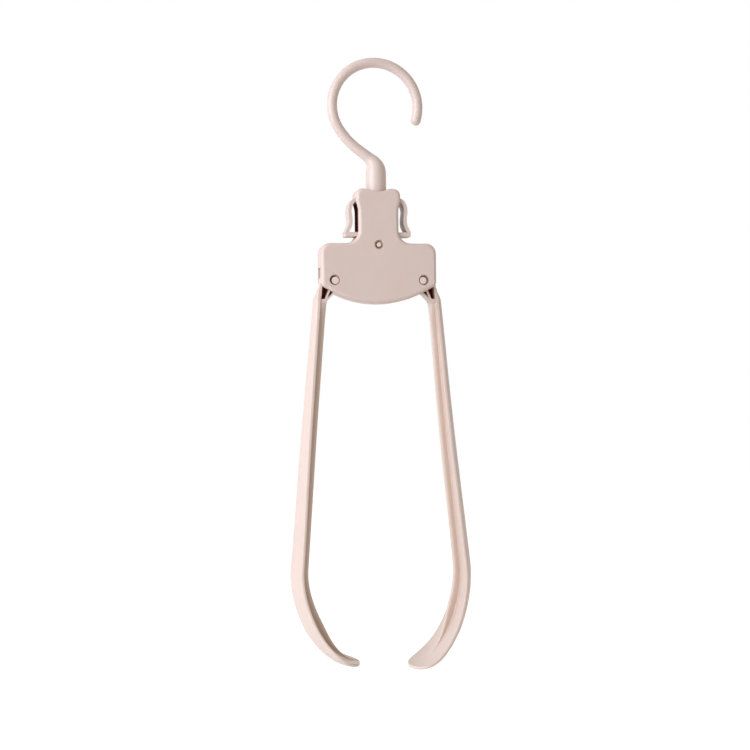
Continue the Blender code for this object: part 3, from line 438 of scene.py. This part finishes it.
def flange_form(lengths, straight, shares):
    """The flange's width and crown at each station: narrow at the casing, and round at the tip.

    The width grows evenly down the straight part and evenly round the curve. A smooth step opens it
    below the casing, and sqrt(1 - t^2) closes it over the tip's length, with t from 0 to 1. The
    crown goes evenly between its sizes at the root, the shoulder, the curve and the tip, rises with
    a smooth step too, and is as much less as the width is.
    """
    down = np.clip(lengths / straight, 0, 1)
    full = FLANGE_ROOT_WIDTH + (FLANGE_SHOULDER_WIDTH - FLANGE_ROOT_WIDTH) * down
    full = full + (FLANGE_TIP_WIDTH - FLANGE_SHOULDER_WIDTH) * shares
    flare = smooth((lengths - FLANGE_EMERGE_LENGTH) / FLANGE_FLARE_LENGTH)
    curve_length = (lengths[-1] - straight) / shares[-1]
    into_tip = 1 - (1 - shares) * curve_length / FLANGE_TIP_ROUNDING
    taper = np.sqrt(1 - np.clip(into_tip, 0, 1) ** 2)
    width = (FLANGE_NARROW_WIDTH + (full - FLANGE_NARROW_WIDTH) * flare) * taper
    crowns = (FLANGE_SHOULDER_CROWN, FLANGE_CURVE_CROWN, FLANGE_TIP_CROWN)
    crown = np.interp(shares, (0, 0.5, 1), crowns)
    crown = crown - (FLANGE_SHOULDER_CROWN - FLANGE_ROOT_CROWN) * (1 - down)
    rise = smooth(lengths / (FLANGE_EMERGE_LENGTH + FLANGE_FLARE_LENGTH))
    return width[:, None], (crown * rise * width / full)[:, None]


def web_form(side, lengths, shares, half):
    """Half the web's thickness at each station, and its height as a share of its full height.

    The thickness is even, at most a share of the flange's width, and a smooth step adds some below
    the arm's root. The height grows a little with a smooth step, and another one takes it to
    nothing round the curve.
    """
    web = np.minimum(WEB_THICKNESS / 2, half * WEB_TIP_SHARE)
    web = web + WEB_ROOT_GROWTH * (1 - smooth((lengths - lengths[0]) / WEB_ROOT_LENGTH))[:, None]
    fade_start, fade_end = WEB_FADE_SHARES[side]
    fade = 1 - smooth((shares - fade_start) / (fade_end - fade_start))
    return web, (fade * (1 + WEB_CURVE_GROWTH * smooth(shares / fade_start)))[:, None]


def blade_rings(side):
    """The arm below the casing: a crowned flange with round rims, and a web on its inner face.

    Across the flange the skin's height is crown (1 - share a^2), with a from -1 to 1. The inner
    skin is flat, lower than the rims by the thickness. Half ellipses join the two at the rims,
    quarter circles join the web's sides to the inner skin, and quarter ellipses round the web's
    edge. Where the blade runs up into the arm's root, it is thinner by a hair and doesn't show.
    """
    points, normals, lengths, straight, shares = arm_line(side, ROOT_CUT_Z + BLADE_OVERLAP)
    width, crown = flange_form(lengths, straight, shares)
    half = width / 2
    web, fade = web_form(side, lengths, shares, half)
    hidden = (points[:, 1] > ROOT_CUT_Z)[:, None] * BLADE_SHRINK
    bulge = half * 2 * FLANGE_RIM_BULGE / width.max()

    outer = np.linspace(-1, 1, OUTER_POINTS)[None]
    outer_y, outer_n = outer * half, (1 - FLANGE_RIM_DROP_SHARE * outer**2) * crown - hidden
    rim_level = (1 - FLANGE_RIM_DROP_SHARE) * crown
    turn = np.linspace(0, math.pi, RIM_POINTS)[None, 1:-1]
    middle = FLANGE_THICKNESS / 2
    rim_y = half + bulge * np.sin(turn)
    rim_n = rim_level - middle + (middle - hidden) * np.cos(turn)
    web_share = web / half
    root_n = rim_level - FLANGE_THICKNESS
    reach = (root_n + FLANGE_THICKNESS + WEB_REACH) * fade
    fillet = np.minimum(WEB_FILLET, reach / 3)
    inner = 1 - np.linspace(0, 1, INNER_POINTS)[None] * (1 - web_share - fillet / half)
    inner_y, inner_n = inner * half, root_n + hidden + 0 * inner
    sweep = np.linspace(0, math.pi / 2, WEB_FILLET_POINTS)[None, 1:]
    fillet_y = web + fillet * (1 - np.sin(sweep))
    fillet_n = root_n - fillet * (1 - np.cos(sweep))
    soft = np.minimum(WEB_EDGE_ROUNDING, reach / 2)
    sweep = np.linspace(0, math.pi / 2, WEB_EDGE_POINTS)[None]
    edge_y = web * (1 - WEB_EDGE_ROUND_SHARE * (1 - np.cos(sweep)))
    edge_n = root_n - reach + soft * (1 - np.sin(sweep))
    low_y = np.concatenate((inner_y, fillet_y, edge_y), axis=1)
    low_n = np.concatenate((inner_n, fillet_n, edge_n), axis=1)
    y = np.concatenate((outer_y, rim_y, low_y, -low_y[:, ::-1], -rim_y[:, ::-1]), axis=1)
    n = np.concatenate((outer_n, rim_n, low_n, low_n[:, ::-1], rim_n[:, ::-1]), axis=1)
    y = y - (ARM_TIP_BOW * shares**2)[:, None]
    x = PIVOT_HALF_SPAN + points[:, :1] + normals[:, :1] * n
    z = PIVOT_Z + points[:, 1:] + normals[:, 1:] * n
    return np.stack((side * x, y, z), axis=-1)


# Pins and spring


def pin_rings(x, z, radius, nose, shift):
    """A headed pin turned about Y, with a thinner nose in the cover's hole.

    Its profile r(y) goes from the front end to the head's top with a quarter circle at each end,
    and is turned as x + r cos a, z + r sin a. The nose leans off the axis by the shift, as a hub
    pulls it, so that its dark gap is wider on one side.
    """
    front = -(HALF_DEPTH - PIN_NOSE_RECESS)
    step = -(HALF_DEPTH - PIN_STEP_DEPTH)
    top = HALF_DEPTH - PIN_HEAD_RECESS
    low = top - PIN_HEAD_THICKNESS
    head = radius + PIN_HEAD_FLANGE
    sweep = np.radians(np.linspace(0, 90.0, 7))
    rise, inward = PIN_CHAMFER * (1 - np.cos(sweep)), PIN_CHAMFER * (1 - np.sin(sweep))
    start, end = (nose / 3, nose * 2 / 3), (head * 2 / 3, head / 3)
    neck = (nose, radius, radius, head)
    r = np.concatenate((start, nose - inward, neck, head - rise, end))
    flats = (step, step, low, low)
    y = np.concatenate(((front, front), front + rise, flats, top - inward, (top, top)))
    angles = np.linspace(0, 2 * math.pi, PIN_SIDES, endpoint=False)
    lean = np.where(np.arange(len(r)) < len(start) + len(rise) + 1, 1.0, 0.0)[:, None]
    ring_x = x + lean * shift[0] + r[:, None] * np.cos(angles)
    ring_z = z + lean * shift[1] + r[:, None] * np.sin(angles)
    return np.stack((ring_x, np.broadcast_to(y[:, None], ring_x.shape), ring_z), axis=-1)


def spring_rings(side):
    """Half of the latch spring: x grows evenly while the wire turns round the x axis."""
    share = np.linspace(0, 1, SPRING_TURNS * SPRING_TURN_STATIONS + 1)
    turn = side * share * SPRING_TURNS * math.pi
    x = side * share * SPRING_HALF_LENGTH
    z = PIVOT_Z + SPRING_Z + SPRING_RADIUS * np.sin(turn)
    line = np.stack((x, SPRING_RADIUS * np.cos(turn), z), axis=1)
    tangent = np.gradient(line, axis=0)
    tangent /= np.linalg.norm(tangent, axis=1)[:, None]
    out = np.stack((0 * turn, np.cos(turn), np.sin(turn)), axis=1)
    other = np.cross(tangent, out)
    angles = np.linspace(0, 2 * math.pi, SPRING_WIRE_SIDES, endpoint=False)
    circle = out[:, None] * np.cos(angles)[:, None] + other[:, None] * np.sin(angles)[:, None]
    return line[:, None] + SPRING_WIRE_RADIUS * circle


# Copies of nodes


def node_form(node):
    """A copy of a node's loose triangles, with its doubles merged.

    The holes of the pins are opened a little at the front cover's face, as countersinks.
    """
    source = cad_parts[node].data
    places = np.empty(len(source.vertices) * 3, np.float32)
    source.vertices.foreach_get("co", places)
    corners = np.empty(len(source.loops), np.int32)
    source.loops.foreach_get("vertex_index", corners)
    loose = bpy.data.meshes.new(f"{node}_loose")
    loose.from_pydata(places.reshape(-1, 3).tolist(), [], corners.reshape(-1, 3).tolist())
    work = bmesh.new()
    work.from_mesh(loose)
    bpy.data.meshes.remove(loose)
    bmesh.ops.remove_doubles(work, verts=work.verts, dist=MERGE_DISTANCE)
    for place, mouth, flare in PIN_HOLES if node == "front_cover" else ():
        for vert in work.verts:
            out = vert.co.xz - Vector(place)
            if vert.co.y < MERGE_DISTANCE - HALF_DEPTH and out.length < mouth + flare:
                out *= (mouth + flare) / mouth
                vert.co.x, vert.co.z = Vector(place) + out
    return work


def painted_shade_faces(faces, trees):
    """The walls of the pins' holes and of the neck's inside, for painted shade: their outward lines
    meet a wall.
    """
    found = []
    for face in faces:
        middle = face.calc_center_median()
        start = middle + face.normal * MERGE_DISTANCE * 4
        met = [tree.ray_cast(start, face.normal, INSIDE_REACH)[0] for tree in trees]
        gap = min((middle.xz - Vector(place)).length - mouth for place, mouth, _ in PIN_HOLES)
        depth = middle.y + HALF_DEPTH
        in_hole = gap < PIVOT_HOLE_FLARE and MERGE_DISTANCE < depth < PIN_STEP_DEPTH
        in_neck = NECK_SHADE[0] < middle.z - PIVOT_Z < NECK_SHADE[1]
        if (in_hole or in_neck) and met != [None, None]:
            found.append(face)
    return found


def softened(name, node, body, slot, finishes, edge, keep_above=None, inside=None):
    """A copy of a node with its triangles merged into flat faces, and its edges rounded.

    It can be cut off at a height. It stays sharp there, and its end is hidden in the arm's blade.
    Inside is a function that picks the faces that get the dark red painted shade.
    """
    work = node_form(node)
    if keep_above is not None:
        everything = work.verts[:] + work.edges[:] + work.faces[:]
        cut = bmesh.ops.bisect_plane(
            work, geom=everything, plane_co=(0, 0, keep_above), plane_no=(0, 0, 1), clear_inner=True
        )
        rim = [item for item in cut["geom_cut"] if isinstance(item, bmesh.types.BMEdge)]
        bmesh.ops.holes_fill(work, edges=rim, sides=0)
    bmesh.ops.dissolve_limit(work, angle_limit=FLAT_ANGLE, verts=work.verts, edges=work.edges)
    for face in inside(work.faces) if inside else ():
        face.material_index = 1
    weights = work.edges.layers.float.new("bevel_weight_edge")
    for line in work.edges:
        if line.calc_face_angle(0.0) > SHARP_ANGLE:
            heights = [vert.co.z for vert in line.verts]
            line.smooth = keep_above is None or max(heights) > keep_above + MERGE_DISTANCE
            line[weights] = float(line.smooth)
    mesh = bpy.data.meshes.new(name)
    work.to_mesh(mesh)
    work.free()
    mesh.shade_smooth()
    obj = piece(name, mesh, body, finishes[slot], node)
    if inside:
        mesh.materials.append(finishes["painted_shade"])
    bevel = obj.modifiers.new("soft_edges", "BEVEL")
    bevel.width = edge
    bevel.segments = EDGE_SEGMENTS
    bevel.limit_method = "WEIGHT"
    bevel.use_clamp_overlap = True
    bevel.harden_normals = True
    weighted = obj.modifiers.new("flat_faces", "WEIGHTED_NORMAL")
    weighted.keep_sharp = True


def painted_shade_pocket_floors(faces):
    """The floors of the two pockets in an arm's root, well behind its front, for the painted shade.
    """
    deep = -ARM_HUB_HALF_WIDTH + POCKET_SHADE_DEPTH
    floors = [face for face in faces if face.normal.y < -POCKET_FLOOR_TURN]
    return [face for face in floors if face.calc_center_median().y > deep]


# Finishes


def linear(code):
    """An sRGB hex colour as linear light."""
    parts = np.array([int(code[i : i + 2], 16) for i in (1, 3, 5)]) / 255
    light = np.where(parts <= 0.04045, parts / 12.92, ((parts + 0.055) / 1.055) ** 2.4)
    return (*light.tolist(), 1.0)


def add(tree, kind, settings=None, inputs=None):
    """Adds a node with its settings, and gives its inputs their values or links."""
    node = tree.nodes.new(kind)
    for name, value in (settings or {}).items():
        setattr(node, name, value)
    for key, value in (inputs or {}).items():
        if isinstance(value, bpy.types.NodeSocket):
            tree.links.new(value, node.inputs[key])
        else:
            node.inputs[key].default_value = value
    return node


def moulded_plastic(name, deep, pale, roughness, corner_shade_tone=PAINTED_CORNER_SHADE):
    """Injection moulded polypropylene: satin, a little see-through at its edges.

    Its colour drifts slightly over some 14 mm, as flow in a mould leaves it. Its gloss changes over
    some 5 mm, and the fine erosion of the mould gives a grain, drawn at 0.35 mm so that it shows.
    In inner corners a painted shade makes the colour a deeper tan, where short rays meet the piece.
    """
    material = bpy.data.materials.new(name)
    material.use_nodes = True
    tree = material.node_tree
    shader = tree.nodes["Principled BSDF"]
    place = add(tree, "ShaderNodeTexCoord").outputs["Object"]
    scales = {"Vector": place, "Scale": 1 / FLOW_SIZE, "Detail": FLOW_DETAIL}
    flow = add(tree, "ShaderNodeTexNoise", None, scales)
    ends = {0: flow.outputs[0], 6: linear(deep), 7: linear(pale)}
    colour = add(tree, "ShaderNodeMix", {"data_type": "RGBA"}, ends)
    # Painted shade: a deeper tan where short rays from the surface meet the piece itself
    rays = {"samples": CORNER_SHADE_RAYS, "only_local": True}
    free = add(tree, "ShaderNodeAmbientOcclusion", rays, {"Distance": CORNER_SHADE_REACH})
    range_ends = {"Value": free.outputs["AO"], "From Min": CORNER_SHADE_FULL, "From Max": CORNER_SHADE_NONE}
    openness = add(tree, "ShaderNodeMapRange", None, range_ends)
    corner_shade_ends = {0: openness.outputs[0], 6: linear(corner_shade_tone), 7: colour.outputs[2]}
    corner_shaded = add(tree, "ShaderNodeMix", {"data_type": "RGBA"}, corner_shade_ends)
    tree.links.new(corner_shaded.outputs[2], shader.inputs["Base Color"])
    patches = add(tree, "ShaderNodeTexNoise", None, {"Vector": place, "Scale": 1 / GLOSS_SIZE})
    least, most = roughness - GLOSS_LESS, roughness + GLOSS_MORE
    range_ends = {"Value": patches.outputs[0], "To Min": least, "To Max": most}
    gloss = add(tree, "ShaderNodeMapRange", None, range_ends)
    tree.links.new(gloss.outputs[0], shader.inputs["Roughness"])
    grain = add(tree, "ShaderNodeTexNoise", None, {"Vector": place, "Scale": 1 / GRAIN_SIZE})
    relief = {"Height": grain.outputs[0], "Strength": GRAIN_STRENGTH, "Distance": GRAIN_HEIGHT}
    bump = add(tree, "ShaderNodeBump", None, relief)
    tree.links.new(bump.outputs[0], shader.inputs["Normal"])
    shader.inputs["IOR"].default_value = PLASTIC_IOR
    shader.inputs["Subsurface Weight"].default_value = PLASTIC_SCATTER
    shader.inputs["Subsurface Radius"].default_value = PLASTIC_SCATTER_RADIUS
    shader.inputs["Subsurface Scale"].default_value = PLASTIC_SCATTER_SIZE
    return material


def spring_wire(name):
    """Drawn spring steel: grey, with a fine change of gloss as the die leaves it."""
    material = bpy.data.materials.new(name)
    material.use_nodes = True
    tree = material.node_tree
    shader = tree.nodes["Principled BSDF"]
    place = add(tree, "ShaderNodeTexCoord").outputs["Object"]
    marks = add(tree, "ShaderNodeTexNoise", None, {"Vector": place, "Scale": 1 / GRAIN_SIZE})
    least, most = WIRE_ROUGHNESS
    range_ends = {"Value": marks.outputs[0], "To Min": least, "To Max": most}
    gloss = add(tree, "ShaderNodeMapRange", None, range_ends)
    tree.links.new(gloss.outputs[0], shader.inputs["Roughness"])
    shader.inputs["Base Color"].default_value = linear("#C2C3C5")
    shader.inputs["Metallic"].default_value = 1.0
    return material


def make_finishes():
    """One plastic in five lots that differ by a hair in tone and gloss, a painted shade of it, and
    steel.

    The painted shade is the plastic made deep red and with little to mirror, for faces where shade
    falls: the pockets, the neck's inside and the pins' holes.
    """
    # Painted shade: a deep red plastic for faces where shade falls
    painted_shade = moulded_plastic("painted_shade_plastic", "#7A2E1E", "#8A3824", 0.6, PAINTED_SHADE_TONE)
    shader = painted_shade.node_tree.nodes["Principled BSDF"]
    shader.inputs["Specular IOR Level"].default_value = PAINTED_SHADE_MIRROR
    return {
        "casing_plastic": moulded_plastic("moulded_casing_plastic", "#D4BFB6", "#DAC6BE", 0.42),
        "hook_plastic": moulded_plastic("moulded_hook_plastic", "#D4BFB6", "#DAC6BE", 0.38),
        "arm_plastic": moulded_plastic("moulded_arm_plastic", "#D6C1B6", "#DCC8BE", 0.4),
        "lever_plastic": moulded_plastic("moulded_lever_plastic", "#D4BFB6", "#DAC6BE", 0.42),
        "pin_plastic": moulded_plastic("moulded_pin_plastic", "#DFCBC2", "#E4D1C8", 0.38),
        "spring_steel": spring_wire("drawn_spring_steel"),
        "painted_shade": painted_shade,
    }


# Stage, light and camera


def seen(tree):
    """1 for rays that show the white backdrop: camera, glossy and transmission. 0 for light."""
    path = add(tree, "ShaderNodeLightPath").outputs
    largest = {"operation": "MAXIMUM"}
    rays = {0: path["Is Camera Ray"], 1: path["Is Glossy Ray"]}
    either = add(tree, "ShaderNodeMath", largest, rays).outputs[0]
    rays = {0: either, 1: path["Is Transmission Ray"]}
    return add(tree, "ShaderNodeMath", largest, rays).outputs[0]


def make_world():
    """A white backdrop that lights the object like a warm, dimmer room."""
    world = bpy.data.worlds.new("studio")
    bpy.context.scene.world = world
    world.use_nodes = True
    tree = world.node_tree
    tree.nodes.clear()
    levels = {"Value": seen(tree), "To Min": ROOM_LIGHT, "To Max": 1.0}
    strength = add(tree, "ShaderNodeMapRange", None, levels).outputs[0]
    ends = {0: seen(tree), 6: (*ROOM_TINT, 1.0), 7: WHITE}
    tint = add(tree, "ShaderNodeMix", {"data_type": "RGBA"}, ends).outputs[2]
    light = add(tree, "ShaderNodeBackground", None, {"Color": tint, "Strength": strength})
    add(tree, "ShaderNodeOutputWorld", None, {"Surface": light.outputs[0]})


def make_floor():
    """A pale floor well under the arms. It glows a little for the camera and keeps the shadow."""
    half, low = FLOOR_HALF_WIDTH, FLOOR_Z
    mesh = bpy.data.meshes.new("floor")
    corners = [(-half, -half, low), (half, -half, low), (half, half, low), (-half, half, low)]
    mesh.from_pydata(corners, [], [(0, 1, 2, 3)])
    floor = bpy.data.objects.new("floor", mesh)
    bpy.context.scene.collection.objects.link(floor)
    material = bpy.data.materials.new("matt_white_paper")
    material.use_nodes = True
    tree = material.node_tree
    shader = tree.nodes["Principled BSDF"]
    shader.inputs["Base Color"].default_value = linear("#F4F4F4")
    shader.inputs["Roughness"].default_value = PAPER_ROUGHNESS
    glow = add(tree, "ShaderNodeMath", {"operation": "MULTIPLY"}, {0: seen(tree), 1: FLOOR_GLOW})
    shader.inputs["Emission Color"].default_value = WHITE
    tree.links.new(glow.outputs[0], shader.inputs["Emission Strength"])
    mesh.materials.append(material)


def lamp(name, direction, power):
    """A round lamp in a direction from the object's middle, turned towards it."""
    light = bpy.data.lights.new(name, "AREA")
    light.shape = "DISK"
    light.size = LAMP_SIZE
    light.energy = power
    light.color = LAMP_TINT
    obj = bpy.data.objects.new(name, light)
    bpy.context.scene.collection.objects.link(obj)
    away = Vector(direction).normalized()
    obj.location = Vector(LAMP_AIM) + away * LAMP_DISTANCE
    obj.rotation_mode = "QUATERNION"
    obj.rotation_quaternion = away.to_track_quat("Z", "Y")


def make_camera():
    """The photograph's camera, level but rolled a little, turned to the hanger's middle line."""
    data = bpy.data.cameras.new("camera")
    data.sensor_width = SENSOR_WIDTH
    data.lens = LENS
    data.shift_x = -AXIS_PIXELS_RIGHT / PICTURE_WIDTH
    data.clip_start = CLIP_NEAR
    data.clip_end = CLIP_FAR
    obj = bpy.data.objects.new("camera", data)
    bpy.context.scene.collection.objects.link(obj)
    back = unit(-math.pi / 2 - CAMERA_TURN) * CAMERA_DISTANCE
    turn = Matrix.Rotation(-CAMERA_TURN, 4, "Z")
    tilt = Matrix.Rotation(math.pi / 2, 4, "X")
    roll = Matrix.Rotation(-CAMERA_ROLL, 4, "Z")
    obj.matrix_world = Matrix.Translation((back[0], back[1], CAMERA_Z)) @ turn @ tilt @ roll
    bpy.context.scene.camera = obj


def make_pin(node, x, z, radius, nose, shift, finishes):
    """A pin whose faces in the gap round its nose get the painted shade."""
    mesh = closed_skin(f"{node}_turned", pin_rings(x, z, radius, nose, shift))
    piece(mesh.name, mesh, "casing", finishes["pin_plastic"], node)
    mesh.materials.append(finishes["painted_shade"])
    for face in mesh.polygons:
        depth = face.center.y + HALF_DEPTH
        # Faces sunk in the gap round the nose get the painted shade
        sunk = PIN_STEP_DEPTH - 2 * PIN_CHAMFER < depth < PIN_STEP_DEPTH * 2
        face.material_index = int(sunk)


def make_arm(word, side, finishes):
    """The arm's blade, and the root with its hub that the casing hides for the most part."""
    node = f"{word}_arm"
    blade = closed_skin(f"{node}_blade", blade_rings(side))
    piece(blade.name, blade, node, finishes["arm_plastic"], node)
    cut = PIVOT_Z + ROOT_CUT_Z
    root = f"{node}_root"
    # The pockets' floors get the painted shade
    softened(root, node, node, "arm_plastic", finishes, ROOT_EDGE, cut, painted_shade_pocket_floors)


def make_spring_half(word, side, finishes):
    """The half of the spring that a lever's leg pushes towards the middle."""
    mesh = closed_skin(f"latch_spring_{word}", spring_rings(side))
    steel = finishes["spring_steel"]
    half = piece(mesh.name, mesh, "casing", steel, "latch_spring")
    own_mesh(half)


def main():
    bpy.context.scene.view_settings.view_transform = "Standard"
    finishes = make_finishes()
    hook = closed_skin("hook_rod", hook_rings())
    piece(hook.name, hook, "hook", finishes["hook_plastic"], "hook")
    for word, side in (("left", -1), ("right", 1)):
        make_arm(word, side, finishes)
        lever = f"{word}_release_lever"
        softened(f"{lever}_strip", lever, lever, "lever_plastic", finishes, LEVER_EDGE)
        x, shift = side * PIVOT_HALF_SPAN, (-side * PIVOT_NOSE_SHIFT, -PIVOT_NOSE_SHIFT / 2)
        sizes = (PIVOT_PIN_RADIUS, PIVOT_NOSE_RADIUS)
        make_pin(f"{word}_pivot_pin", x, PIVOT_Z, *sizes, shift, finishes)
        make_spring_half(word, side, finishes)
    sizes = (CENTRE_PIN_RADIUS, CENTRE_NOSE_RADIUS)
    make_pin("centre_pin", 0, PIVOT_Z + CENTRE_PIN_Z, *sizes, (0, 0), finishes)

    covers = ("front_cover", "rear_cover")
    forms = [node_form(cover) for cover in covers]
    trees = [BVHTree.FromBMesh(form) for form in forms]
    for form in forms:
        form.free()

    # Picks the faces for the painted shade
    def inside(faces):
        return painted_shade_faces(faces, trees)

    for cover in covers:
        name = f"{cover}_shell"
        softened(name, cover, "casing", "casing_plastic", finishes, COVER_EDGE, inside=inside)

    make_world()
    make_floor()
    for name, (direction, power) in LAMPS.items():
        lamp(name, direction, power)
    make_camera()


main()
